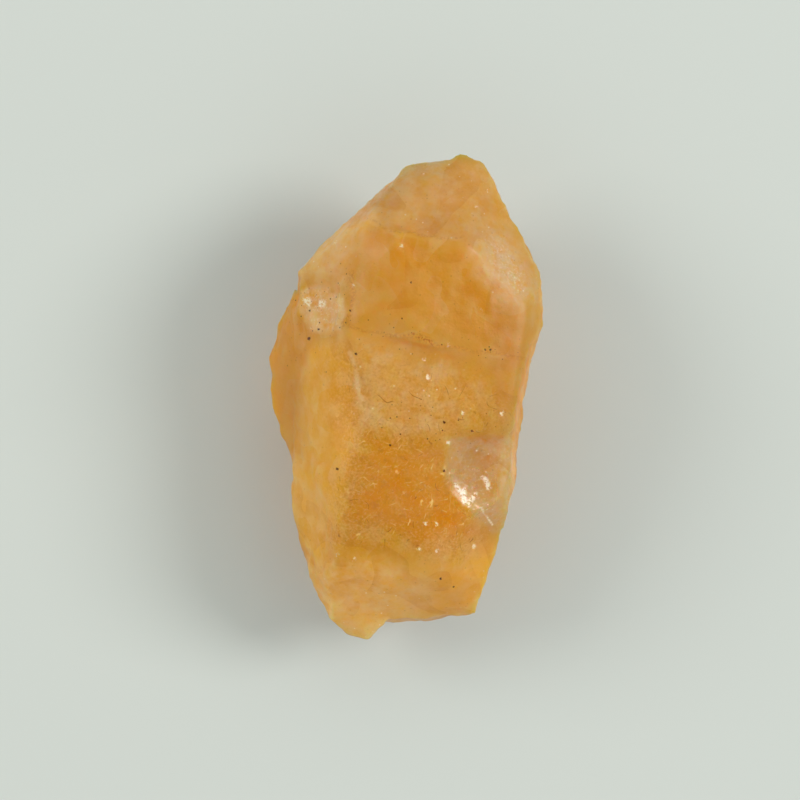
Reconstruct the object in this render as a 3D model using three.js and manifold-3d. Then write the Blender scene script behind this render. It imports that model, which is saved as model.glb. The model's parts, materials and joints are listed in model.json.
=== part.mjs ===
// Rough topaz: one broken crystal, lying on a flat fracture face.
// Millimetres, +Z up. Y runs along the crystal's c axis with the pointed end at +Y, X runs across it,
// and the origin is the middle of the outline on the resting face.
import * as THREE from "three";
import { ConvexGeometry } from "three/addons/geometries/ConvexGeometry.js";
import { mergeVertices } from "three/addons/utils/BufferGeometryUtils.js";
import Module from "manifold-3d";

// Driving dimensions
const LENGTH = 18.2;
const WIDTH = 9.8;
const HEIGHT = 8.0;

// Facet size on the curved walls of chips
const CHIP_FACET = 0.45;

// Topaz splits cleanly across its length. These are the levels of the splits that show, in hundredths of
// the half length from the middle.
const CROWN_CREASE = 64;
const LEDGE = 23;
const WAIST = -19;
const HEEL = -70;

// Every place below is [across, along, up] in hundredths: across of the half width, along of the half
// length, both from the middle, and up of the height from the resting face.
const place = ([across, along, up]) =>
  new THREE.Vector3((across * WIDTH) / 200, (along * LENGTH) / 200, (up * HEIGHT) / 100);

// The widest line round the stone, clockwise from the tip as seen from above
const OUTLINE = [
  [24, 100, 69],
  [36, 98, 68],
  [52, 88, 68],
  [79, 69, 71],
  [94, 57, 74],
  [100, 37, 76],
  [96, 4, 76],
  [93, -44, 68],
  [85, -71, 58],
  [80, -84, 50],
  [-27, -95.5, 46],
  [-47, -79, 45],
  [-69, -50, 43],
  [-88, 43, 64],
  [-70, 57.5, 67],
  [-58, 65, 69],
  [-14, 92.5, 70],
];

// Corners of the upper surface: the crown facets, then the body down to the heel
const UPPER = [
  [-46, CROWN_CREASE, 89],
  [-16, CROWN_CREASE, 96],
  [38, CROWN_CREASE - 2, 95],
  [66, 46, 93],
  [87, 42, 90.5],
  [-44, 30, 97],
  [0, LEDGE + 6, 100],
  [64, LEDGE, 95],
  [87, LEDGE - 3, 92],
  [-40, 12, 94],
  [66, WAIST, 90.5],
  [85, WAIST, 87],
  [-34, WAIST, 89],
  [70, HEEL + 14, 78],
  [-31, HEEL, 76],
  [30, HEEL, 77],
];

// Corners of the flanks under the widest line
const FLANKS = [
  [30, 86, 40],
  [80, 48, 36],
  [84, 0, 32],
  [78, -48, 26],
  [54, -86, 22],
  [20, -93, 20],
  [-16, -90, 20],
  [-62, -58, 16],
  [-74, 2, 14],
  [-70, 44, 26],
  [-30, 70, 30],
];

// The flat fracture face that the stone rests on
const RESTING_FACE = [
  [8, 64, 0],
  [48, 44, 0],
  [62, 6, 0],
  [56, -44, 0],
  [30, -68, 0],
  [-14, -70, 0],
  [-44, -42, 0],
  [-60, 4, 0],
  [-42, 42, 0],
];

// The lump that stands out low on the left: its rim, its top, and corners under it and inside the stone
const LUMP = [
  [-89.5, 38, 54],
  [-92.5, 28, 47],
  [-98, 20, 44],
  [-100, 8, 41],
  [-98.5, -5, 39],
  [-93, -13, 38],
  [-80, -25, 38],
  [-72, -36, 40],
  [-82, 28, 65],
  [-80, 10, 60],
  [-74, -8, 54],
  [-68, -24, 50],
  [-80, 18, 12],
  [-79, -4, 10],
  [-68, -26, 12],
  [-50, 22, 14],
  [-50, 20, 50],
  [-50, -16, 44],
];

// The spur at the heel: its rim, then corners over it, under it and inside the stone
const SPUR = [
  [1, -100, 42],
  [-13, -99, 42],
  [-28, -95.5, 45],
  [9, -96, 45],
  [15, -92, 48],
  [4, -86, 55],
  [-20, -86, 56],
  [4, -94, 24],
  [-20, -92, 22],
  [0, -80, 40],
];

// Layers that broke away. Inside edge, seen from above, everything over a floor is gone. The floor passes
// through floor, rises by pitch degrees towards +Y and drops by roll degrees towards +X. Its wall leans
// out by flare millimetres.
const BREAKS = {
  crownFacet: {
    edge: [[-24, 104], [-23, 65.5], [-8, 65], [16, 63], [40, 61.5], [56, 66], [70, 104]],
    floor: [10, CROWN_CREASE, 94],
    pitch: -32,
    roll: -2,
    flare: 0.05,
  },
  ledge: {
    edge: [[-52, 25], [-44, 24.5], [-32, 22.5], [-14, 23.5], [6, 22], [22, 21], [36, 21.5], [58, 20],
      [74, 22], [108, 21], [108, -26], [-52, -26]],
    floor: [0, LEDGE, 96],
    pitch: 2.6,
    roll: 0.8,
    flare: 0.12,
  },
  window: {
    edge: [[-18, -21], [-9, -18.5], [6, -19], [15, -22], [34, -17], [60, -22], [100, -30], [90, -68],
      [40, -70], [0, -69], [-27, -70], [-24, -50], [-26, -36]],
    floor: [20, -44, 83.8],
    pitch: 10.8,
    roll: 1,
    flare: 0.12,
  },
  bigChip: {
    edge: [[42, -14], [40, -27], [56, -37], [70, -45], [83, -49], [112, -46], [112, -8], [64, -12]],
    floor: [60, -28, 83],
    pitch: 4,
    roll: 9,
    flare: 0.3,
  },
  shoulderChip: {
    edge: [[-112, 41], [-84, 41], [-57, 43.5], [-49, 38], [-46, 30], [-50, 22], [-74, 20.5], [-112, 24]],
    floor: [-60, 31, 79],
    pitch: 4,
    roll: -40,
    flare: 0.15,
  },
};

// Shell-shaped chips and hollows: where each one is, the way it faces, and the radius and depth of its
// bowl in millimetres
const CHIPS = {
  ridgeHollow: { at: [-30, -20, 89], facing: [-0.6, -0.05, 0.8], radius: 8, depth: 0.26 },
  flankHollow: { at: [-50, -62, 61], facing: [-0.85, -0.2, 0.5], radius: 14, depth: 0.28 },
  lumpNotch: { at: [-90, 32, 56], facing: [-1, 0.3, 0.5], radius: 1.4, depth: 0.16 },
  rightWaist: { at: [95, -3, 72], facing: [1, 0, 0.15], radius: 12, depth: 0.22 },
  ledgeNick: { at: [98, 25, 79], facing: [1, -0.2, 0.6], radius: 1.6, depth: 0.18 },
  heelBreak: { at: [48, -84, 58], facing: [0.3, -1, 1], radius: 7, depth: 0.2 },
  tipNick: { at: [4, 96, 71], facing: [-0.3, 1, 0.4], radius: 1.4, depth: 0.16 },
  brightScoop: { at: [60, -36, 83.6], facing: [0.33, 0.28, 0.9], radius: 2.2, depth: 0.14 },
  rightHeelChip: { at: [80, -62, 68], facing: [0.6, -0.2, 0.8], radius: 6, depth: 0.22 },
  rightFlank: { at: [78, 8, 20], facing: [1, 0.1, -0.45], radius: 9, depth: 0.5 },
  rightHeelFlank: { at: [76, -58, 24], facing: [1, -0.4, -0.5], radius: 10, depth: 0.4 },
  tipFlank: { at: [42, 78, 34], facing: [0.6, 1, -0.55], radius: 10, depth: 0.4 },
  leftTipFlank: { at: [-52, 58, 34], facing: [-1, 0.8, -0.4], radius: 10, depth: 0.5 },
  leftHeelFlank: { at: [-54, -66, 22], facing: [-1, -0.6, -0.3], radius: 9, depth: 0.4 },
  heelFlank: { at: [20, -90, 14], facing: [0, -1, -0.5], radius: 8, depth: 0.45 },
};

const CRYSTAL = new THREE.MeshStandardMaterial({
  name: "topaz",
  color: 0xc98f40,
  roughness: 0.4,
  metalness: 0,
  flatShading: true,
});

const wasm = await Module();
wasm.setup();

function solidOf(geometry) {
  const bare = new THREE.BufferGeometry().setAttribute("position", geometry.getAttribute("position"));
  bare.setIndex(geometry.getIndex());
  const merged = mergeVertices(bare);
  return new wasm.Manifold(
    new wasm.Mesh({
      numProp: 3,
      vertProperties: merged.getAttribute("position").array,
      triVerts: new Uint32Array(merged.getIndex().array),
    }),
  );
}

function geometryOf(solid) {
  const { vertProperties, triVerts } = solid.getMesh();
  const geometry = new THREE.BufferGeometry();
  geometry.setAttribute("position", new THREE.BufferAttribute(vertProperties, 3));
  geometry.setIndex(new THREE.BufferAttribute(triVerts, 1));
  return geometry;
}

// The slab of crystal over a tilted floor, inside an edge drawn from above
function brokenLayer({ edge, floor, pitch, roll, flare }) {
  const middle = place(floor);
  const shape = new THREE.Shape(
    edge.map(([across, along]) => {
      const point = place([across, along, 0]).sub(middle);
      return new THREE.Vector2(point.x, point.y);
    }),
  );
  const slab = new THREE.ExtrudeGeometry(shape, {
    depth: HEIGHT,
    bevelSegments: 1,
    bevelThickness: flare,
    bevelSize: flare,
    bevelOffset: -flare,
  });
  slab.translate(0, 0, flare);
  slab.rotateX(THREE.MathUtils.degToRad(pitch));
  slab.rotateY(THREE.MathUtils.degToRad(roll));
  slab.translate(middle.x, middle.y, middle.z);
  return solidOf(slab);
}

// The ball whose wall is left as a shell-shaped fracture where it dips into the stone
function chipped({ at, facing, radius, depth }) {
  const segments = Math.max(14, Math.round((2 * Math.PI * radius) / CHIP_FACET));
  const ball = new THREE.SphereGeometry(radius, segments, Math.round(segments / 2));
  const outward = new THREE.Vector3(...facing).normalize();
  const middle = place(at).addScaledVector(outward, radius - depth);
  ball.translate(middle.x, middle.y, middle.z);
  return solidOf(ball);
}

function crystal() {
  const blank = solidOf(new ConvexGeometry([...OUTLINE, ...UPPER, ...FLANKS, ...RESTING_FACE].map(place)));
  const lumps = [LUMP, SPUR].map((corners) => solidOf(new ConvexGeometry(corners.map(place))));
  const losses = [...Object.values(BREAKS).map(brokenLayer), ...Object.values(CHIPS).map(chipped)];
  const whole = lumps.reduce((stone, lump) => stone.add(lump), blank);
  const broken = losses.reduce((stone, loss) => stone.subtract(loss), whole);
  const mesh = new THREE.Mesh(geometryOf(broken), CRYSTAL);
  mesh.name = "topaz";
  return mesh;
}

const stone = new THREE.Group();
stone.add(crystal());

export default stone;
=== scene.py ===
# %% [markdown]
# A rough topaz. The real thing is one broken crystal of orange topaz, about the size of a bean. Its plain
# faceted solid is already made, and this lesson gives it the worn surface, the milky honey colour and the
# soft light of the real stone. The solid is loaded first, because later sizes and places are read from it.

import json

import bpy
import numpy as np
from mathutils import Matrix, Vector, noise

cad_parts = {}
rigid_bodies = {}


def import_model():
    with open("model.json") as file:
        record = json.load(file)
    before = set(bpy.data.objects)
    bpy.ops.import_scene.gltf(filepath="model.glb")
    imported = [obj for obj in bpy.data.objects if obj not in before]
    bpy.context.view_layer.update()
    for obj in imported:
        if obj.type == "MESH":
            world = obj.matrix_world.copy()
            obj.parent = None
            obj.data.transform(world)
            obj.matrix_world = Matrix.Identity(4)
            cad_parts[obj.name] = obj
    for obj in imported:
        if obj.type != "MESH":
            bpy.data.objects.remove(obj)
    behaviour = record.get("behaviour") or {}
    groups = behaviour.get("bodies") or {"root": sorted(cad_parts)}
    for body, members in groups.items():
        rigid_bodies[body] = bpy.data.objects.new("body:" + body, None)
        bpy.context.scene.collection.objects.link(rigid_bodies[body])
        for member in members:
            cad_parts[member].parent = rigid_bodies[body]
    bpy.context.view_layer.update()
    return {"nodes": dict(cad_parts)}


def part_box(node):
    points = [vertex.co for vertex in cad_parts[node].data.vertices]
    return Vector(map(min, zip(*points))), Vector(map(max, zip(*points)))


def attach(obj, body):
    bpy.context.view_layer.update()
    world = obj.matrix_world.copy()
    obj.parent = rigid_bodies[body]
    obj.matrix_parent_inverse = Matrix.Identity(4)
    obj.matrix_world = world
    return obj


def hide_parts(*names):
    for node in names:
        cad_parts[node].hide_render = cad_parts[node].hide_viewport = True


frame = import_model()
solid = frame["nodes"]["topaz"]
low, high = (Vector(corner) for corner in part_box("topaz"))
print("solid loaded,", len(solid.data.polygons), "triangles, in mm", [round(v * 1000, 2) for v in high - low])

# %% [markdown]
# Broken crystal has two kinds of surface: flat faces left by the cleavage, and edges that wear has rounded
# a little. A subdivided copy of the solid would keep every edge razor sharp, and a sculpt would lose the
# faces. A voxel remesh covers the copy with even little squares, and a light smoothing then wears the edges
# down and leaves the faces flat. Tools that work on a mesh expect sizes near one, so the copy is enlarged a
# thousand times while it is being shaped: one unit is then one millimetre.

# %% Copy the solid and enlarge it
ENLARGED = 1000.0
WELD = 1e-6

bpy.ops.object.select_all(action="DESELECT")
solid.select_set(True)
bpy.context.view_layer.objects.active = solid
bpy.ops.object.duplicate()
stone = bpy.context.view_layer.objects.active
stone.name = stone.data.name = "topaz_crystal"
bpy.ops.object.parent_clear(type="CLEAR_KEEP_TRANSFORM")
bpy.ops.object.mode_set(mode="EDIT")
bpy.ops.mesh.select_all(action="SELECT")
bpy.ops.mesh.remove_doubles(threshold=WELD)
bpy.ops.object.mode_set(mode="OBJECT")
bpy.ops.transform.resize(value=(ENLARGED,) * 3, center_override=(0, 0, 0))
bpy.ops.object.transform_apply(location=True, rotation=True, scale=True)
print("copy welded to", len(stone.data.vertices), "corners")

# %% [markdown]
# Every edge of the real stone has lost a little of its sharpness. A Bevel would need each edge picked out,
# and the chips meet in edges of many lengths. Even squares and a few rounds of smoothing wear all of them
# alike. One function adds a modifier, sets it and applies it, because the relief needs the same steps later.

# %% Cover it with small squares and wear its edges
SQUARE_MM = 0.08
WEAR_ROUNDS = 8
SMOOTHING = 0.5


def shape_with(kind, **settings):
    """Adds one modifier to the stone, sets it and applies it."""
    bpy.ops.object.modifier_add(type=kind)
    modifier = stone.modifiers[-1]
    for name, value in settings.items():
        setattr(modifier, name, value)
    bpy.ops.object.modifier_apply(modifier=modifier.name)


shape_with("REMESH", mode="VOXEL", voxel_size=SQUARE_MM)
shape_with("SMOOTH", factor=SMOOTHING, iterations=WEAR_ROUNDS)
print("remeshed to", len(stone.data.polygons), "squares")

# %% [markdown]
# Parts of the surface differ: some faces are clear windows into the stone, some are frosted by many tiny
# breaks, and dirt has settled in the ledge. Each kind is a zone. A zone could be painted with a brush, but a
# script draws it better as a short outline seen from above. It is kept as a number on every corner of the
# mesh, from 0 to 1, so that both the relief and the colour can use it. Broken edges wander, so the corners
# are shifted a little by a noise before they are looked up. Places are in hundredths of the stone's half
# width and half length, from its middle.

# %% Helpers that draw zones
HALF = np.array([high.x - low.x, high.y - low.y]) / 2 * ENLARGED
# The size of each wander and how far it shifts a corner, in mm
WANDERS_MM = ((0.9, 0.14), (0.3, 0.06))


def corners_and_normals():
    """The stone's corners and their normals, as two arrays."""
    count = len(stone.data.vertices)
    places = np.empty(count * 3)
    normals = np.empty(count * 3)
    stone.data.vertices.foreach_get("co", places)
    stone.data.vertices.foreach_get("normal", normals)
    return places.reshape(-1, 3), normals.reshape(-1, 3)


def soft_step(value, start, end):
    """0 at start, 1 at end and a soft slope between. It falls where start is the larger."""
    share = np.clip((value - start) / (end - start), 0, 1)
    return share * share * (3 - 2 * share)


def distance_to(points, corners):
    """How far each point lies from a line through corners, in mm."""
    nearest = np.full(len(points), np.inf)
    for start, end in zip(corners, corners[1:]):
        along = end - start
        share = np.clip(((points - start) @ along) / (along @ along), 0, 1)
        nearest = np.minimum(nearest, np.linalg.norm(points - start - share[:, None] * along, axis=1))
    return nearest


def inside(points, outline, rim):
    """1 inside a closed outline and 0 outside, soft over a rim in mm."""
    ring = np.array(outline + outline[:1]) / 100 * HALF
    within = np.zeros(len(points), dtype=bool)
    for start, end in zip(ring, ring[1:]):
        spans = (start[1] > points[:, 1]) != (end[1] > points[:, 1])
        rise = end[1] - start[1] or 1.0
        within ^= spans & (points[:, 0] < start[0] + (points[:, 1] - start[1]) * (end[0] - start[0]) / rise)
    distance = distance_to(points, ring)
    return soft_step(np.where(within, distance, -distance), -rim, rim)


def along_line(points, line, width, rim):
    """1 on an open line and 0 past half its width, soft over a rim in mm."""
    return 1 - soft_step(distance_to(points, np.array(line) / 100 * HALF), width / 2 - rim, width / 2 + rim)


print("zones are drawn over", [round(2 * v, 2) for v in HALF], "mm")

# %% [markdown]
# Handling has worn some ridges round while others stayed crisp. The worn ones are drawn as lines, and only
# the corners near them are smoothed some more.

# %% Wear some ridges round
RIDGE_WEAR_ROUNDS = 120
RIDGE_FADE = 3
# How far up a normal points: 1 is straight up, 0 level and -1 straight down
NOT_UNDERNEATH = (-0.2, 0.1)
# Each line with its width in mm
WORN_RIDGES = (
    ([(-46, 60), (-44, 30), (-40, 12), (-34, -19), (-31, -70)], 2.4),
    ([(-31, -70), (30, -70), (74, -58)], 1.4),
    ([(44, -14), (64, -12), (100, -10)], 1.2),
    ([(38, 62), (66, 46), (88, 42)], 2.6),
    ([(88, 42), (87, 20), (85, -19)], 2.6),
    ([(-38, -4), (-32, -30)], 3.6),
)


def mark_group(name, values, steps=20):
    """A vertex group that holds one number for each corner, rounded to a few steps."""
    group = stone.vertex_groups.new(name=name)
    rounded = np.round(np.clip(values, 0, 1) * steps).astype(int)
    for step in range(1, steps + 1):
        group.add(np.flatnonzero(rounded == step).tolist(), step / steps, "REPLACE")


places, normals = corners_and_normals()
worn = np.zeros(len(places))
for ridge, width in WORN_RIDGES:
    worn = np.maximum(worn, along_line(places[:, :2], ridge, width, width / RIDGE_FADE))
mark_group("worn", worn * soft_step(normals[:, 2], *NOT_UNDERNEATH))
shape_with("SMOOTH", factor=SMOOTHING, iterations=RIDGE_WEAR_ROUNDS, vertex_group="worn")
print("corners on worn ridges:", int((worn > 0.5).sum()))

# %% [markdown]
# The zones follow the stone's own faces: the crown at its pointed end, the chips, the lump low on the left,
# the sunken windows and the heel. They could be found by the way each face looks, but worn faces run into
# each other, so each is outlined with only the corners that it needs. Dirt and veils of fine cracks
# lie in patches, which are outlined in the same way.

# %% Outline the faces and patches
OUTLINES = {
    "crown": [(-14, 90), (-21, 66), (0, 64.5), (18, 65), (40, 62), (56, 68), (44, 100), (0, 104)],
    "tip facet": [(-90, 48), (-48, 60), (-22, 66), (-14, 88), (12, 93), (4, 106), (-20, 104), (-90, 70)],
    "tip edge": [(-90, 46), (-58, 56), (-34, 70), (-12, 87), (10, 92), (4, 106), (-20, 104), (-90, 66)],
    "shoulder": [(46, 67), (62, 71), (84, 58), (90, 46), (70, 44), (50, 54)],
    "left scree": [(-90, 42), (-90, 56), (-60, 66), (-38, 72), (-34, 67), (-46, 58), (-49, 40)],
    "left chip": [(-88, 33), (-80, 38), (-62, 40), (-51, 36), (-47, 29), (-49, 22), (-74, 20.5), (-82, 26)],
    "lump": [(-92, 38), (-78, 20), (-72, 0), (-66, -30), (-84, -30), (-110, 0), (-104, 24)],
    "lump patch": [(-84, 20), (-70, 20), (-67, 8), (-81, 7)],
    "big chip": [
        (42, -14), (40, -27), (56, -37), (70, -45), (83, -49), (112, -46), (112, -10), (64, -12),
    ],
    "chip gloss": [(46, -26), (60, -24), (80, -26), (82, -38), (68, -44), (54, -40)],
    "middle": [(-34, 20), (30, 18), (60, 4), (40, -14), (0, -19), (-30, -14)],
    "left flank": [
        (-44, 20), (-30, -4), (-24, -20), (-30, -34), (-32, -70), (-45, -80), (-76, -46), (-76, 16),
    ],
    "right side": [(60, 60), (100, 60), (104, -12), (70, -12), (62, 20)],
    "heel": [(-40, -72), (0, -68), (40, -70), (90, -70), (90, -110), (-40, -110)],
    "heel right": [(34, -66), (90, -56), (90, -100), (34, -100)],
    "window": [
        (-12, -20), (10, -19), (34, -21), (42, -30), (56, -40), (72, -49), (70, -54), (40, -54), (-22, -50),
    ],
    "upper window": [(-42, 60), (-8, 62), (40, 59), (54, 48), (92, 40), (90, 24), (36, 24), (-42, 27)],
    "waist dirt": [(-20, -14), (10, 0), (70, 0), (92, -8), (60, -14), (44, -22), (10, -20)],
    "left dirt": [(-100, 30), (-84, 48), (-50, 48), (-44, 30), (-46, 6), (-80, 4)],
    "waist veil": [(-50, 16), (-20, 14), (20, 12), (70, 8), (88, -6), (40, -16), (-20, -18), (-44, -14)],
    "lower veil": [
        (-30, -16), (20, -14), (44, -26), (76, -52), (60, -62), (10, -58), (-34, -62), (-36, -40),
    ],
}
print("outlined", len(OUTLINES), "faces and patches")

# %% [markdown]
# Every corner of the mesh is looked up in the outlines, so it is first shifted by the wandering noise. What
# belongs on the top mustn't run down the flanks, so the way each corner looks is measured too, from its
# normal. The stone's rim is where the surface turns from the top to the flank.

# %% Measure which way each corner looks
LOOKS_UP = (0.0, 0.3)
LOOKS_DOWN = (0.1, -0.3)
EDGE_TOP = (0.5, 0.1)
EDGE_FOOT = (-0.2, 0.0)

places, normals = corners_and_normals()
plan = places[:, :2].copy()
for size, reach in WANDERS_MM:
    plan += reach * np.array([noise.noise_vector(Vector(place) / size)[:2] for place in places])
facing_up = soft_step(normals[:, 2], *LOOKS_UP)
under = soft_step(normals[:, 2], *LOOKS_DOWN)
# The rim is made cloudier here, and is later painted a darker orange as shade.
edge = soft_step(normals[:, 2], *EDGE_TOP) * soft_step(normals[:, 2], *EDGE_FOOT)
print("corners that look up:", int((facing_up > 0.5).sum()), "down:", int((under > 0.5).sum()))

# %% [markdown]
# Frost says how finely broken a face is. It starts from one value and takes on another inside each outline,
# with a soft rim in mm. The windows are smooth, so they lose most of their frost.

# %% Frost the faces
FROST_ALL_OVER = 0.22
WINDOW_POLISH = 0.7
WINDOWS = (("window", 0.7, 1.0), ("upper window", 0.8, 0.3), ("lump", 0.5, 0.7))


def painted(ground, *patches):
    """A zone that starts from a ground and takes on each patch's strength inside its outline."""
    values = np.zeros(len(plan)) + ground
    for outline, rim, strength in patches:
        values += (strength - values) * inside(plan, OUTLINES[outline], rim) * facing_up
    return values


window = np.zeros(len(plan))
for outline, rim, strength in WINDOWS:
    window = np.maximum(window, strength * inside(plan, OUTLINES[outline], rim) * facing_up)
frost = painted(
    FROST_ALL_OVER,
    ("crown", 0.12, 0.46),
    ("tip facet", 0.5, 0.5),
    ("tip edge", 0.4, 0.7),
    ("left scree", 0.4, 0.6),
    ("shoulder", 0.9, 0.94),
    ("left chip", 0.1, 0.78),
    ("lump", 0.5, 0.04),
    ("lump patch", 0.3, 0.6),
    ("middle", 0.8, 0.47),
    ("big chip", 0.12, 0.68),
    ("left flank", 0.6, 0.26),
    ("heel", 0.5, 0.46),
    ("heel right", 0.6, 0.28),
)
frost *= 1 - WINDOW_POLISH * window
print("frost", round(float(frost.mean()), 3), "on average")

# %% [markdown]
# Clearness says how much light goes straight through a face. The heel and the left flank are the cloudiest
# faces of the top. The flanks below are clearer than the top, and the thin worn rim between is cloudier.

# %% Clear the faces
CLEAR_ALL_OVER = 0.42
CLEARER_BELOW = 0.42
EDGE_CLOUDING = 0.6

clear = painted(
    CLEAR_ALL_OVER + CLEARER_BELOW * under,
    ("crown", 0.5, 0.45),
    ("tip facet", 0.5, 0.5),
    ("left scree", 0.4, 0.26),
    ("middle", 0.8, 0.33),
    ("window", 0.8, 0.34),
    ("left flank", 0.6, 0.18),
    ("lump", 0.5, 0.36),
    ("left chip", 0.2, 0.2),
    ("heel", 0.5, 0.13),
    ("heel right", 0.6, 0.28),
    ("right side", 0.6, 0.5),
    ("shoulder", 0.7, 0.38),
    ("big chip", 0.2, 0.43),
)
clear *= 1 - EDGE_CLOUDING * edge
print("clearness", round(float(clear.mean()), 3), "on average")

# %% [markdown]
# Dirt gathers in hollows, so it is thickest along the foot of the ledge. Fine cracks make veils in the lower
# half of the stone. Gloss is what is left where a face isn't frosted, and the floor of the big chip is the
# glossiest of all.

# %% Spread dirt, veils and gloss
DIRT_ALL_OVER = 0.25
VEIL_ALL_OVER = 0.12
LEAST_GLOSS = 0.2
MOST_GLOSS = 0.5
FROST_DULLS = 0.4
GLOSSIER_BELOW = 0.2
LEDGE = [(-44, 25), (-32, 23), (-14, 23.5), (6, 23), (22, 22), (36, 22), (58, 22), (90, 21)]
LEDGE_DIRT_WIDTH = 0.9
LEDGE_DIRT_RIM = 0.4

dirt = painted(DIRT_ALL_OVER, ("waist dirt", 0.5, 1.0), ("left dirt", 0.5, 0.8))
dirt = np.maximum(dirt, along_line(plan, LEDGE, LEDGE_DIRT_WIDTH, LEDGE_DIRT_RIM))
veil = painted(VEIL_ALL_OVER, ("waist veil", 0.8, 0.6), ("lower veil", 0.6, 1.0))
smooth = np.clip(MOST_GLOSS - FROST_DULLS * frost, LEAST_GLOSS, MOST_GLOSS)
gloss = painted(
    smooth + GLOSSIER_BELOW * under,
    ("window", 0.5, 0.6),
    ("right side", 0.6, 0.2),
    ("chip gloss", 0.3, 1.0),
)
print("gloss from", round(float(gloss.min()), 2), "to", round(float(gloss.max()), 2))

# %% [markdown]
# Some marks are lines: stains in the ledge and the creases, white feathers where a crack meets the surface,
# and bright streaks in the big chip, which are a painted highlight. Each has its width and soft rim in mm
# and its strength. The highlight streak on the chip's rim has to lie right on that edge, so it is drawn
# without the wandering.

# %% Draw stains, feathers and painted highlight streaks
STAINS = (
    (LEDGE, 0.12, 0.1, 0.6),
    ([(2, 24), (10, 23.6), (17, 22.6), (21, 22.2)], 0.18, 0.1, 1.0),
    ([(-38, 67), (-24, 65), (-2, 64.4), (18, 65), (29, 65.5)], 0.08, 0.1, 0.6),
    ([(-47, 46), (-45, 38), (-44, 31), (-47, 24)], 0.2, 0.1, 0.5),
)
FEATHERS = (
    ([(-38, 13.5), (-35, 8), (-31, 2), (-25, -5.5)], 0.2, 0.1, 1.0),
    ([(-23, 65), (-17, 62), (-12, 59)], 0.08, 0.05, 0.6),
)
HIGHLIGHT_STREAKS = (
    ([(51.5, -32), (56, -35.6), (59.7, -38.9)], 0.16, 0.08, 1.0),
    ([(57.7, -34.3), (61.2, -38.8)], 0.16, 0.08, 1.0),
    ([(66.3, -35.6), (63.7, -39.9)], 0.16, 0.08, 1.0),
    ([(70.5, -28.4), (73, -30), (74.5, -32.6)], 0.16, 0.08, 1.0),
)
RIM_HIGHLIGHT = (([(71.8, -39.7), (76.4, -42.9), (82.5, -46.5)], 0.06, 0.04, 1.0),)


def strongest(points, lines):
    """The strongest of several lines at each point."""
    drawn = np.zeros(len(points))
    for line, width, rim, strength in lines:
        drawn = np.maximum(drawn, strength * along_line(points, line, width, rim))
    return drawn


grime = strongest(plan, STAINS)
feather = strongest(plan, FEATHERS)
painted_flash = np.maximum(strongest(plan, HIGHLIGHT_STREAKS), strongest(places[:, :2], RIM_HIGHLIGHT))
print("lines drawn:", len(STAINS) + len(FEATHERS) + len(HIGHLIGHT_STREAKS) + len(RIM_HIGHLIGHT))

# %% [markdown]
# A mesh can hold any number on each corner as an attribute, and a material can read it by name. So each zone
# is kept as one, and the marks that belong on the top are kept off the flanks.

# %% Keep the zones on the mesh
zones = {
    "frost": frost,
    "clear": clear,
    "edge": edge,
    "top": facing_up,
    "window": window,
    "veil": veil,
    "feather": feather * facing_up,
    "grime": grime * facing_up,
    "dirt": dirt * facing_up,
    "gloss": gloss,
    "painted_flash": painted_flash * facing_up,
}
for name, values in zones.items():
    layer = stone.data.attributes.new(name, "FLOAT", "POINT")
    layer.data.foreach_set("value", values.astype(np.float32))
print("mean of each zone:", {name: round(float(values.mean()), 3) for name, values in zones.items()})

# %% [markdown]
# The faces of the real stone aren't truly flat. They swell gently over a few millimetres, carry shallow
# dimples, and have a fine grain. The flanks broke in shallow steps, the rim is lumpy and chipped, and frosted
# faces are made of small broken cells. Sculpting all that by hand would take days, so Displace modifiers push
# the surface in and out by patterns of several sizes, and a vertex group keeps each one where it belongs.

# %% Push the surface in and out
RIM_TOP = (0.65, 0.35)
RIM_FOOT = (-0.5, -0.1)
# The pattern, its size and depth in mm, and the group it is kept to
RELIEF = (
    ("swell", "CLOUDS", 2.6, 0.22, ""),
    ("dimples", "CLOUDS", 0.9, 0.06, ""),
    ("grain", "CLOUDS", 0.3, 0.015, ""),
    ("flank steps", "CLOUDS", 1.4, 0.24, "flank"),
    ("edge lumps", "CLOUDS", 1.1, 0.24, "rim"),
    ("edge chips", "CLOUDS", 0.45, 0.08, "rim"),
    ("broken cells", "VORONOI", 0.34, 0.05, "frost"),
)
mark_group("frost", frost)
mark_group("flank", under)
mark_group("rim", soft_step(normals[:, 2], *RIM_TOP) * soft_step(normals[:, 2], *RIM_FOOT))
for name, kind, size, depth, zone in RELIEF:
    pattern = bpy.data.textures.new(name, kind)
    pattern.noise_scale = size
    shape_with("DISPLACE", texture=pattern, strength=depth, mid_level=0.5, vertex_group=zone)
print("relief pushed:", [name for name, *_ in RELIEF])

# %% [markdown]
# The relief also pushed the face that the stone rests on. That face has to stay level, or the stone would
# rock, so the corners that lie near the floor are pressed flat again. Then the stone goes back to its real
# size in metres, with its place in its mesh, as the solid's is.

# %% Level the resting face and shrink the stone back
RESTING_BAND_MM = 0.08

places, normals = corners_and_normals()
resting = places[:, 2] < RESTING_BAND_MM
stone.data.polygons.foreach_set("select", np.zeros(len(stone.data.polygons), dtype=bool))
stone.data.edges.foreach_set("select", np.zeros(len(stone.data.edges), dtype=bool))
stone.data.vertices.foreach_set("select", resting)
bpy.ops.object.mode_set(mode="EDIT")
bpy.ops.mesh.select_mode(type="VERT")
bpy.ops.transform.resize(value=(1, 1, 0), center_override=(0, 0, 0))
bpy.ops.object.mode_set(mode="OBJECT")
bpy.ops.transform.resize(value=(1 / ENLARGED,) * 3, center_override=(0, 0, 0))
bpy.ops.object.transform_apply(location=True, rotation=True, scale=True)
bpy.ops.object.shade_smooth()
print("resting corners:", int(resting.sum()), "stone in mm", [round(v * 1000, 2) for v in stone.dimensions])

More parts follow.
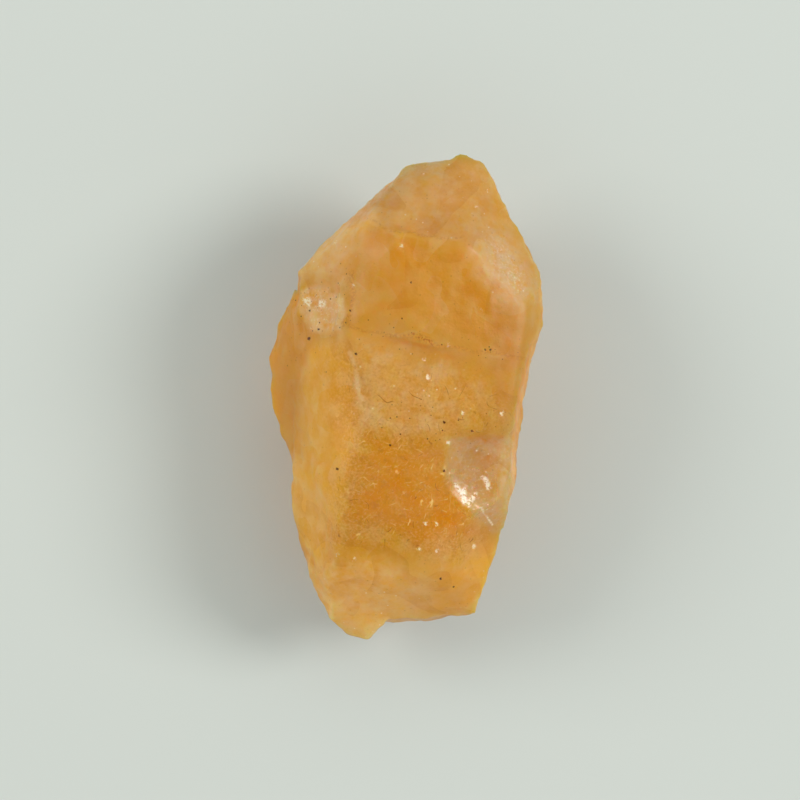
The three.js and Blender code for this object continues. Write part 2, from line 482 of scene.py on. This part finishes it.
# %% [markdown]
# A material is a small graph of nodes. One function here adds a node, sets its properties and fills or links
# its inputs, so that each later line reads as one step of the recipe. Colours are written as the hex codes
# that a paint program shows, and one function turns them to the linear values that light adds up in.

# %% Helpers for materials
MM = 0.001


def colour(code):
    """A linear colour with alpha from an sRGB hex code."""
    channels = [int(code[i : i + 2], 16) / 255 for i in (1, 3, 5)]
    return [c / 12.92 if c <= 0.04045 else ((c + 0.055) / 1.055) ** 2.4 for c in channels] + [1.0]


def add_node(tree, kind, inputs=(), output=None, **settings):
    """Adds a node, sets its properties, fills or links its inputs by name or order, and gives one output."""
    node = tree.nodes.new(kind)
    for name, value in settings.items():
        setattr(node, name, value)
    usable = [socket for socket in node.inputs if socket.enabled]
    for key, value in inputs.items() if isinstance(inputs, dict) else enumerate(inputs):
        socket = usable[key] if isinstance(key, int) else node.inputs[key]
        if isinstance(value, bpy.types.NodeSocket):
            tree.links.new(value, socket)
        else:
            socket.default_value = value
    given = [socket for socket in node.outputs if socket.enabled and output in (None, socket.name)]
    return given[0] if given else None


def new_material(name):
    """An empty node material and its tree."""
    material = bpy.data.materials.new(name)
    material.use_nodes = True
    material.node_tree.nodes.clear()
    return material, material.node_tree


print("orange in linear light:", [round(c, 3) for c in colour("#E89A2C")])

# %% [markdown]
# Topaz is a clear mineral, here coloured honey orange all through and clouded by many fine cracks. Four
# cloud patterns give the milkiness: the colour drifts over a few millimetres, milky patches are a little
# under a millimetre, and mottling and grain are finer still. The real grain is too fine to show, so it is
# drawn coarser than it is.

# %% Start the topaz and its cloud patterns
CLOUD_SIZES_MM = {"drift": 2.4, "milk": 0.75, "mottling": 0.26, "grain": 0.09}
CLOUD_DETAIL = 3.0
CLOUD_ROUGHNESS = 0.55

topaz, tree = new_material("topaz, cleaved and worn")
place = add_node(tree, "ShaderNodeTexCoord", output="Object")
mask = {
    name: add_node(tree, "ShaderNodeAttribute", output="Fac", attribute_name=name)
    for name in zones
}
for name, size in CLOUD_SIZES_MM.items():
    mask[name] = add_node(
        tree,
        "ShaderNodeTexNoise",
        {"Vector": place, "Scale": 1 / (size * MM), "Detail": CLOUD_DETAIL, "Roughness": CLOUD_ROUGHNESS},
    )
print("patterns:", list(mask))

# %% [markdown]
# Small marks are scattered over the stone: brown specks of dirt, and bright glints that are painted
# highlights. A Voronoi pattern splits space into cells, each with a point in its middle. A mark is drawn
# round the points of some cells only.

# %% Scatter small marks
MARK_CORE = 0.5
# The cell in mm, the mark's reach as a share of its cell, and the share of cells that have one
MARKS = (
    ("specks", 0.25, 0.15, 0.35),
    ("fine specks", 0.14, 0.2, 0.3),
    ("glints", 0.22, 0.19, 0.16),
)
for name, cell, reach, kept_share in MARKS:
    cells = add_node(tree, "ShaderNodeTexVoronoi", {"Vector": place, "Scale": 1 / (cell * MM)}, "Distance")
    near = add_node(
        tree, "ShaderNodeMapRange", {"Value": cells, "From Min": reach, "From Max": reach * MARK_CORE}
    )
    luck = add_node(tree, "ShaderNodeSeparateColor", [cells.node.outputs["Color"]], "Red")
    kept = add_node(tree, "ShaderNodeMath", [luck, kept_share], operation="LESS_THAN")
    mask[name] = add_node(tree, "ShaderNodeMath", [near, kept], operation="MULTIPLY")
print("marks:", [name for name, *_ in MARKS])

# %% [markdown]
# Inside the stone, hair-fine cracks show as short bent threads, pale cracks whose bright colour is also a
# painted glint of the light they catch, and others hold brown dirt. A line that bends at random is the level
# line of a noise, where its value passes a half. A second, finer noise breaks the long level lines up into
# short pieces.

# %% Draw fine cracks
CRACK_CORE = 0.4
PIECES_PER_BEND = 4
PIECES_LEFT = (0.57, 0.65)
# The bends' size in mm, the line's half width as a step of the noise, and the turn of the pattern
CRACKS = (
    ("threads", 0.9, 0.012, (0.0, 0.0, 0.7)),
    ("hairlines", 1.3, 0.007, (0.4, 1.2, 4.0)),
)
for name, size, thickness, turn in CRACKS:
    turned = add_node(tree, "ShaderNodeMapping", {"Vector": place, "Rotation": turn})
    field = add_node(
        tree, "ShaderNodeTexNoise", {"Vector": turned, "Scale": 1 / (size * MM), "Detail": 1.0}
    )
    pieces = add_node(
        tree, "ShaderNodeTexNoise", {"Vector": turned, "Scale": PIECES_PER_BEND / (size * MM), "Detail": 0.0}
    )
    off = add_node(tree, "ShaderNodeMath", [field, 0.5], operation="SUBTRACT")
    away = add_node(tree, "ShaderNodeMath", [off], operation="ABSOLUTE")
    line = add_node(
        tree, "ShaderNodeMapRange", {"Value": away, "From Min": thickness, "From Max": thickness * CRACK_CORE}
    )
    gone, left = PIECES_LEFT
    part = add_node(tree, "ShaderNodeMapRange", {"Value": pieces, "From Min": gone, "From Max": left})
    mask[name] = add_node(tree, "ShaderNodeMath", [line, part], operation="MULTIPLY")
print("cracks:", [name for name, *_ in CRACKS])

# %% [markdown]
# Fine straight needles are pale too, and their bright colour is likewise partly a painted glint. Most of
# them lean the same way. A flat Voronoi pattern gives one needle to each of its cells: the cell's random
# colour turns it, and a point is on the needle where it lies close to the line through the cell's middle
# and not far along it.

# %% Lay fine needles
# The cell, half the needle's length and half its thickness, all in mm
NEEDLES = (("needles", 0.46, 0.15, 0.014), ("short needles", 0.27, 0.07, 0.013))
NEEDLES_TURN = (2, 2, 0)
NEEDLES_LEAN = (-0.5, -0.35, 0.0)
NEEDLE_CORE = 3
NEEDLE_TAPER = 2
FLATTENED = (1, 1, 0)

level = add_node(tree, "ShaderNodeVectorMath", [place, FLATTENED], operation="MULTIPLY")
for name, cell, reach, thickness in NEEDLES:
    middle = add_node(
        tree,
        "ShaderNodeTexVoronoi",
        {"Vector": level, "Scale": 1 / (cell * MM)},
        "Position",
        voronoi_dimensions="2D",
    )
    luck = middle.node.outputs["Color"]
    leaning = add_node(
        tree, "ShaderNodeVectorMath", [luck, NEEDLES_TURN, NEEDLES_LEAN], operation="MULTIPLY_ADD"
    )
    way = add_node(tree, "ShaderNodeVectorMath", [leaning], operation="NORMALIZE")
    apart = add_node(tree, "ShaderNodeVectorMath", [level, middle], operation="SUBTRACT")
    along = add_node(tree, "ShaderNodeVectorMath", [apart, way], "Value", operation="DOT_PRODUCT")
    aside = add_node(tree, "ShaderNodeVectorMath", [apart, way], operation="CROSS_PRODUCT")
    across = add_node(tree, "ShaderNodeVectorMath", [aside], "Value", operation="LENGTH")
    off = add_node(tree, "ShaderNodeMath", [along], operation="ABSOLUTE")
    thin = add_node(
        tree,
        "ShaderNodeMapRange",
        {"Value": across, "From Min": thickness * MM, "From Max": thickness * MM / NEEDLE_CORE},
    )
    short = add_node(
        tree,
        "ShaderNodeMapRange",
        {"Value": off, "From Min": reach * MM, "From Max": reach * MM / NEEDLE_TAPER},
    )
    mask[name] = add_node(tree, "ShaderNodeMath", [thin, short], operation="MULTIPLY")
print("needles:", [name for name, *_ in NEEDLES])

# %% [markdown]
# Old cracks run through the stone as curved sheets. Seen through the surface, a sheet is strongest along one
# crisp edge and fades away from it. The fraction part of a slow noise draws that: it climbs from 0 to 1 and
# drops back at once, again and again.

# %% Draw sheets of old cracks
SHEET_DETAIL = 1.5
SHEET_BEND = 0.6
# The noise's size in mm, how many sheets it is cut into, and the turn of the pattern
SHEETS = (
    ("pale sheets", 2.8, 6.0, (0.3, 0.0, 0.0)),
    ("deep sheets", 3.4, 5.0, (0.0, 0.5, 1.0)),
)
for name, size, count, turn in SHEETS:
    turned = add_node(tree, "ShaderNodeMapping", {"Vector": place, "Rotation": turn})
    field = add_node(
        tree,
        "ShaderNodeTexNoise",
        {"Vector": turned, "Scale": 1 / (size * MM), "Detail": SHEET_DETAIL, "Distortion": SHEET_BEND},
    )
    many = add_node(tree, "ShaderNodeMath", [field, count], operation="MULTIPLY")
    mask[name] = add_node(tree, "ShaderNodeMath", [many], operation="FRACT")
print("sheets:", [name for name, *_ in SHEETS])

# %% [markdown]
# The largest spots of dirt and the brightest glints, which are painted highlights, have places of
# their own, so they are listed. Each is a disc seen from above: the distance from its middle, less its
# radius, is below zero inside it, and the least of all those distances draws them all at once. A little
# noise bends the discs out of round. A disc seen from above would run down a flank as a stripe, so the
# colours later keep the spots to faces that look up.

# %% Place the largest spots and painted glints
# Each spot's place, in hundredths as for the outlines, and its radius in mm
SPOTS = {
    "dark spots": (
        (-5, 30.4, 0.04), (36.1, -8.1, 0.045), (57.6, -10.1, 0.045), (-72, 17.8, 0.06), (-37.7, -32.4, 0.045),
        (-1.2, -20.1, 0.035), (-44, 30.7, 0.035), (-35.3, 14, 0.05), (-74.2, 28.9, 0.04), (-65.7, 21.9, 0.04),
        (59, 22.6, 0.035), (62.7, 22.9, 0.04), (41.1, -27.4, 0.05), (-2.1, 45.1, 0.035), (49.8, -70.7, 0.04),
        (60.3, -73.5, 0.035),
    ),
    "painted glint spots": (
        (-12.3, 58.8, 0.051), (20, 8.5, 0.075), (15.9, 15.8, 0.043), (32.1, 22.6, 0.034), (52.1, 37.8, 0.034),
        (38.6, 79.1, 0.051), (-43.6, 40.8, 0.06), (-61.9, 57.2, 0.043), (-76.6, 32.3, 0.15),
        (-65.4, 32.3, 0.13), (49.2, -3.5, 0.051), (77.8, -1.4, 0.068), (33.1, -49, 0.06),
        (41.3, -49.1, 0.068), (31.4, -59.9, 0.051), (44.8, -59.8, 0.06), (-28.3, -66.4, 0.043),
        (-16.1, -67.1, 0.051), (71.4, -55.8, 0.068), (41.9, -16.1, 0.068),
    ),
}
# The softness of the rim and how far the noise bends it, in mm
SPOT_RIMS_MM = {"dark spots": (0.012, 0.1), "painted glint spots": (0.035, 0.4)}
HALF_WAY = (0.5, 0.5, 0.5)

ragged = mask["grain"].node.outputs["Color"]
bend = add_node(tree, "ShaderNodeVectorMath", [ragged, HALF_WAY], operation="SUBTRACT")
for name, spots in SPOTS.items():
    soft, bent = SPOT_RIMS_MM[name]
    shift = (bent * MM, bent * MM, 0)
    moved = add_node(tree, "ShaderNodeVectorMath", [bend, shift, level], operation="MULTIPLY_ADD")
    nearest = 1.0
    for across, along, radius in spots:
        middle = (across / 100 * HALF[0] * MM, along / 100 * HALF[1] * MM, 0)
        distance = add_node(tree, "ShaderNodeVectorMath", [moved, middle], "Value", operation="DISTANCE")
        outside = add_node(tree, "ShaderNodeMath", [distance, radius * MM], operation="SUBTRACT")
        nearest = add_node(tree, "ShaderNodeMath", [outside, nearest], operation="MINIMUM")
    mask[name] = add_node(
        tree, "ShaderNodeMapRange", {"Value": nearest, "From Min": soft * MM, "From Max": -soft * MM}
    )
print("spots:", {name: len(spots) for name, spots in SPOTS.items()})

# %% [markdown]
# The colour is built up in layers, from the clear honey of the body to the dirt on top. Each layer has its
# colour, the patterns that say where it lies, and the most it may cover. A few layers are painted light: the
# darker rim is painted shade, and the sparkle, glints, bright spots and flash are painted highlights.

# %% Lay the colours over each other
BODY = "#F5B21E"
# The colour, where each pattern starts and where it is full, and the most the layer covers
LAYERS = (
    ("clear flank", "#FFC07C", (("clear", 0.5, 0.7),), 0.6),
    # The edge layer is painted shade: a darker orange along the rim, where the top turns to the flank.
    ("edge", "#D28634", (("edge", 0.0, 1.0),), 0.85),
    ("pale honey", "#F6B858", (("drift", 0.44, 0.66),), 0.5),
    ("deep honey", "#E4940C", (("drift", 0.48, 0.32),), 0.4),
    ("milk", "#F0C27E", (("milk", 0.46, 0.66), ("frost", 0.1, 0.5)), 0.6),
    ("frost", "#ECCCA2", (("frost", 0.25, 1.0), ("mottling", 0.25, 0.6)), 0.9),
    ("pale sheets", "#F8C878", (("pale sheets", 0.3, 1.0), ("milk", 0.35, 0.6)), 0.45),
    ("deep sheets", "#DC8E08", (("deep sheets", 0.3, 1.0), ("milk", 0.65, 0.4)), 0.42),
    ("grain", "#FFD080", (("grain", 0.50, 0.66), ("veil", 0.0, 1.0)), 0.5),
    ("grain shade", "#C07608", (("grain", 0.48, 0.34), ("veil", 0.0, 1.0)), 0.4),
    ("deep window", "#F09C00", (("window", 0.0, 1.0), ("milk", 1.0, 0.35)), 1.0),
    ("shade", "#D98A18", (("mottling", 0.46, 0.32), ("veil", 0.1, 0.9)), 0.5),
    ("clots", "#FAC460", (("grain", 0.58, 0.72), ("veil", 0.2, 1.0)), 0.4),
    ("feather", "#FBDCAE", (("feather", 0.0, 1.0), ("mottling", 0.3, 0.5)), 0.42),
    # Threads and needles are pale cracks, and their bright colour is partly a painted glint.
    ("threads", "#FFD684", (("threads", 0.0, 1.0), ("veil", 0.1, 0.9)), 0.6),
    ("needles", "#FFE09A", (("needles", 0.0, 1.0), ("veil", 0.1, 0.8), ("milk", 0.4, 0.64)), 0.75),
    (
        "short needles",
        "#FFE09A",
        (("short needles", 0.0, 1.0), ("veil", 0.1, 0.9), ("drift", 0.42, 0.6)),
        0.6,
    ),
    # Sparkle is a painted highlight: fine near-white dots on the most frosted faces.
    ("sparkle", "#FFF1E0", (("grain", 0.54, 0.66), ("frost", 0.6, 0.96)), 0.5),
    # Glints are painted highlights, scattered over the frosted faces.
    ("glints", "#FFEFD2", (("glints", 0.0, 1.0), ("frost", 0.2, 0.5)), 0.7),
    # Bright spots are painted highlights: near-white glints at listed places.
    ("painted glint spots", "#FFF0D4", (("painted glint spots", 0.0, 1.0), ("grain", 0.4, 0.5), ("top", 0.3, 0.8)), 0.8),
    # The flash is a painted highlight: near-white streaks on the big chip.
    ("painted_flash", "#FFF4E4", (("painted_flash", 0.2, 0.8), ("grain", 0.38, 0.5)), 0.75),
    ("hairlines", "#9A4A0C", (("hairlines", 0.0, 1.0), ("veil", 0.2, 0.6)), 0.55),
    ("grime", "#A8450E", (("grime", 0.1, 1.0), ("grain", 0.40, 0.60)), 0.85),
    ("specks", "#561E02", (("specks", 0.0, 1.0), ("dirt", 0.1, 0.7)), 0.9),
    ("fine specks", "#9A5A20", (("fine specks", 0.0, 1.0), ("dirt", 0.0, 0.9)), 0.7),
    ("dark spots", "#521A00", (("dark spots", 0.0, 1.0), ("top", 0.3, 0.8)), 0.95),
)
body = colour(BODY)
shares = {}
for name, code, sources, most in LAYERS:
    share = most
    for source, start, end in sources:
        strength = add_node(
            tree, "ShaderNodeMapRange", {"Value": mask[source], "From Min": start, "From Max": end}
        )
        share = add_node(tree, "ShaderNodeMath", [strength, share], operation="MULTIPLY")
    shares[name] = share
    body = add_node(tree, "ShaderNodeMix", [share, body, colour(code)], data_type="RGBA")
print("colour layers:", len(LAYERS), "nodes so far:", len(tree.nodes))

# %% [markdown]
# Up close the faces are covered by a grain of a few thousandths of a millimetre. That is too fine to model,
# so a Bump node only tilts the light on it. Smooth faces mirror the room sharply and frosted ones scatter
# it, so the roughness follows the gloss.

# %% Grain and roughness of the surface
GRAIN_DEPTH_MM = 0.006
MOTTLING_OVER_GRAIN = 2.0
DULLEST, GLOSSIEST = 0.2, 1.0
ROUGHEST, SMOOTHEST = 0.46, 0.12

relief = add_node(
    tree,
    "ShaderNodeMath",
    [mask["mottling"], MOTTLING_OVER_GRAIN, mask["grain"]],
    operation="MULTIPLY_ADD",
)
surface = add_node(
    tree,
    "ShaderNodeBump",
    {"Height": relief, "Strength": 1.0, "Distance": GRAIN_DEPTH_MM * MM},
)
roughness = add_node(
    tree,
    "ShaderNodeMapRange",
    {
        "Value": mask["gloss"],
        "From Min": DULLEST,
        "From Max": GLOSSIEST,
        "To Min": ROUGHEST,
        "To Max": SMOOTHEST,
    },
)
print("roughness from", SMOOTHEST, "to", ROUGHEST)

# %% [markdown]
# The stone will glow from under its surface and let some light through. Marks such as dirt, needles and
# glints would blur away in that, so the more a mark covers, the less the stone does of either. Marks could
# be separate little meshes, but there are far too many of them.

# %% Keep the marks opaque
GLOW_SHARE = 0.8
OPAQUE_MARKS = (
    "feather", "threads", "needles", "short needles", "sparkle", "glints", "painted glint spots", "painted_flash",
    "hairlines", "grime", "specks", "fine specks", "dark spots",
)

milky = 1.0
for name in OPAQUE_MARKS:
    rest = add_node(tree, "ShaderNodeMath", [1.0, shares[name]], operation="SUBTRACT")
    milky = add_node(tree, "ShaderNodeMath", [milky, rest], operation="MINIMUM")
glow = add_node(tree, "ShaderNodeMath", [milky, GLOW_SHARE], operation="MULTIPLY")
clearness = add_node(tree, "ShaderNodeMath", [milky, mask["clear"]], operation="MULTIPLY")
print("opaque marks:", len(OPAQUE_MARKS))

# %% [markdown]
# Light goes into topaz, is soaked up more in the blue than in the red, and comes back out of the cracks
# inside. So the shader is part glass, with topaz's own index of refraction and a plain absorption inside,
# and part glow from under the surface, where red light travels furthest. A very thin coat gives the worn
# surface its faint polish.

# %% Finish the topaz
TOPAZ_IOR = 1.62
GLOW_DEPTH_MM = 3.0
GLOW_REACH = (1.0, 0.4, 0.1)
SPECULAR_LEVEL = 0.3
COAT = 0.08
COAT_ROUGHNESS = 0.15
LIGHT_LET_THROUGH = "#FDDD69"
ABSORPTION_PER_M = 100.0

shader = add_node(
    tree,
    "ShaderNodeBsdfPrincipled",
    {
        "Base Color": body,
        "Roughness": roughness,
        "Normal": surface,
        "IOR": TOPAZ_IOR,
        "Specular IOR Level": SPECULAR_LEVEL,
        "Transmission Weight": clearness,
        "Coat Weight": COAT,
        "Coat Roughness": COAT_ROUGHNESS,
        "Subsurface Weight": glow,
        "Subsurface Radius": GLOW_REACH,
        "Subsurface Scale": GLOW_DEPTH_MM * MM,
    },
)
inside_stone = add_node(
    tree,
    "ShaderNodeVolumeAbsorption",
    {"Color": colour(LIGHT_LET_THROUGH), "Density": ABSORPTION_PER_M},
)
add_node(tree, "ShaderNodeOutputMaterial", {"Surface": shader, "Volume": inside_stone})
stone.data.materials.clear()
stone.data.materials.append(topaz)
print("made", topaz.name, "with", len(tree.nodes), "nodes")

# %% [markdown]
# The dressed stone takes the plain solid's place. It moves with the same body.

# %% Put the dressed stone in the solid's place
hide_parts("topaz")
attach(stone, "root")
print(stone.name, "replaces", solid.name)

# %% [markdown]
# The stone lies on a plain pale card. A card is matt, so it shows only the soft shadow and the warm light
# that comes through the stone.

# %% Floor
FLOOR_SIZE = 0.8
CARD = "#CDD2CD"
CARD_ROUGHNESS = 0.9

bpy.ops.object.select_all(action="DESELECT")
bpy.ops.mesh.primitive_plane_add(size=FLOOR_SIZE)
floor = bpy.context.view_layer.objects.active
floor.name = "floor"
card, card_tree = new_material("pale card, matt")
paper = add_node(
    card_tree, "ShaderNodeBsdfPrincipled", {"Base Color": colour(CARD), "Roughness": CARD_ROUGHNESS}
)
add_node(card_tree, "ShaderNodeOutputMaterial", {"Surface": paper})
floor.data.materials.append(card)
print("floor", FLOOR_SIZE, "m wide")

# %% [markdown]
# The light is soft: a round softbox from the upper right and a weaker one from the left. They aren't
# mirrored in the gloss, where they would draw hard highlights along the ridges. A small third lamp is seen
# in the gloss alone, and gives a real highlight in the big chip, over the highlight streaks painted there.

# %% Lights
LIGHT_DISTANCE = 0.45


def soft_light(name, towards, size, watts, tint, glints=False):
    """A round lamp that shines at the stone from one direction, or is only mirrored in its gloss."""
    data = bpy.data.lights.new(name, "AREA")
    data.shape = "DISK"
    data.size = size
    data.energy = watts
    data.color = colour(tint)[:3]
    lamp = bpy.data.objects.new(name, data)
    lamp.visible_glossy = glints
    lamp.visible_diffuse = not glints
    direction = Vector(towards).normalized()
    lamp.location = direction * LIGHT_DISTANCE
    lamp.rotation_euler = direction.to_track_quat("Z", "Y").to_euler()
    bpy.context.scene.collection.objects.link(lamp)


soft_light("key", towards=(0.80, 0.28, 0.70), size=0.18, watts=1.0, tint="#FEFDFA")
soft_light("fill", towards=(-0.85, 0.16, 0.65), size=0.26, watts=0.66, tint="#FBFAF4")
soft_light("spark", towards=(0.59, 0.50, 0.62), size=0.06, watts=0.14, tint="#FFFFFF", glints=True)
print("lights:", [thing.name for thing in bpy.data.lights])

# %% [markdown]
# A pale room all round fills the shadows. It is dim straight overhead, where the camera is, because a bright
# ceiling would lay a white veil over the level faces and hide their colour, and dimmer towards the floor. One
# side is a little brighter, as beside a window.

# %% Room
AIR = "#F4F8F6"
OVERHEAD = 0.03
ALL_ROUND = 0.86
HORIZON = 0.45
BRIGHTER_SIDE = (0.15, 0.15, 0.0)
# The height where each fade starts and ends, from 0 level to 1 overhead, and what is left there
FADES = ((0.5, 0.1, HORIZON), (0.8, 0.97, OVERHEAD))

world = bpy.data.worlds.new("soft room")
bpy.context.scene.world = world
world.use_nodes = True
sky = world.node_tree
sky.nodes.clear()
direction = add_node(sky, "ShaderNodeTexCoord", output="Generated")
height = add_node(sky, "ShaderNodeSeparateXYZ", [direction], "Z")
lean = add_node(sky, "ShaderNodeVectorMath", [direction, BRIGHTER_SIDE], "Value", operation="DOT_PRODUCT")
strength = add_node(sky, "ShaderNodeMath", [lean, ALL_ROUND, ALL_ROUND], operation="MULTIPLY_ADD")
for start, end, least in FADES:
    faded = add_node(
        sky,
        "ShaderNodeMapRange",
        {"Value": height, "From Min": start, "From Max": end, "To Min": 1.0, "To Max": least},
    )
    strength = add_node(sky, "ShaderNodeMath", [faded, strength], operation="MULTIPLY")
air = add_node(sky, "ShaderNodeBackground", {"Color": colour(AIR), "Strength": strength})
add_node(sky, "ShaderNodeOutputWorld", {"Surface": air})
print("room strength", ALL_ROUND, "all round and", OVERHEAD, "overhead")

# %% [markdown]
# Light that has gone into a clear stone bounces many times before it finds a way out. Too few bounces leave
# dark holes, so the limits are raised.

# %% Bounces
BOUNCES = 14

cycles = bpy.context.scene.cycles
cycles.max_bounces = BOUNCES
cycles.glossy_bounces = BOUNCES
cycles.transmission_bounces = BOUNCES
print("bounces", BOUNCES)

# %% [markdown]
# The camera looks straight down through a long lens, so that the stone's far and near sides are seen at the
# same scale. It is turned a little, because the stone lies at a slant.

# %% Camera
VIEW_WIDTH = 0.0292
LENS = 220.0
SENSOR = 36.0
LOOKS_AT = Vector((0.08, -0.16, 6.0)) * MM
PICTURE_UP = Vector((-0.1357, 0.9907, 0.0))

camera_data = bpy.data.cameras.new("camera")
camera_data.lens = LENS
camera_data.sensor_width = SENSOR
camera_data.clip_start = MM
camera = bpy.data.objects.new("camera", camera_data)
bpy.context.scene.collection.objects.link(camera)
back = Vector((0, 0, 1))
right = PICTURE_UP.cross(back).normalized()
turned = Matrix((right, back.cross(right), back)).transposed().to_4x4()
camera.matrix_world = Matrix.Translation(LOOKS_AT + back * VIEW_WIDTH * LENS / SENSOR) @ turned
bpy.context.scene.camera = camera
bpy.context.scene.view_settings.view_transform = "Standard"
print("camera at", [round(v, 4) for v in camera.location])
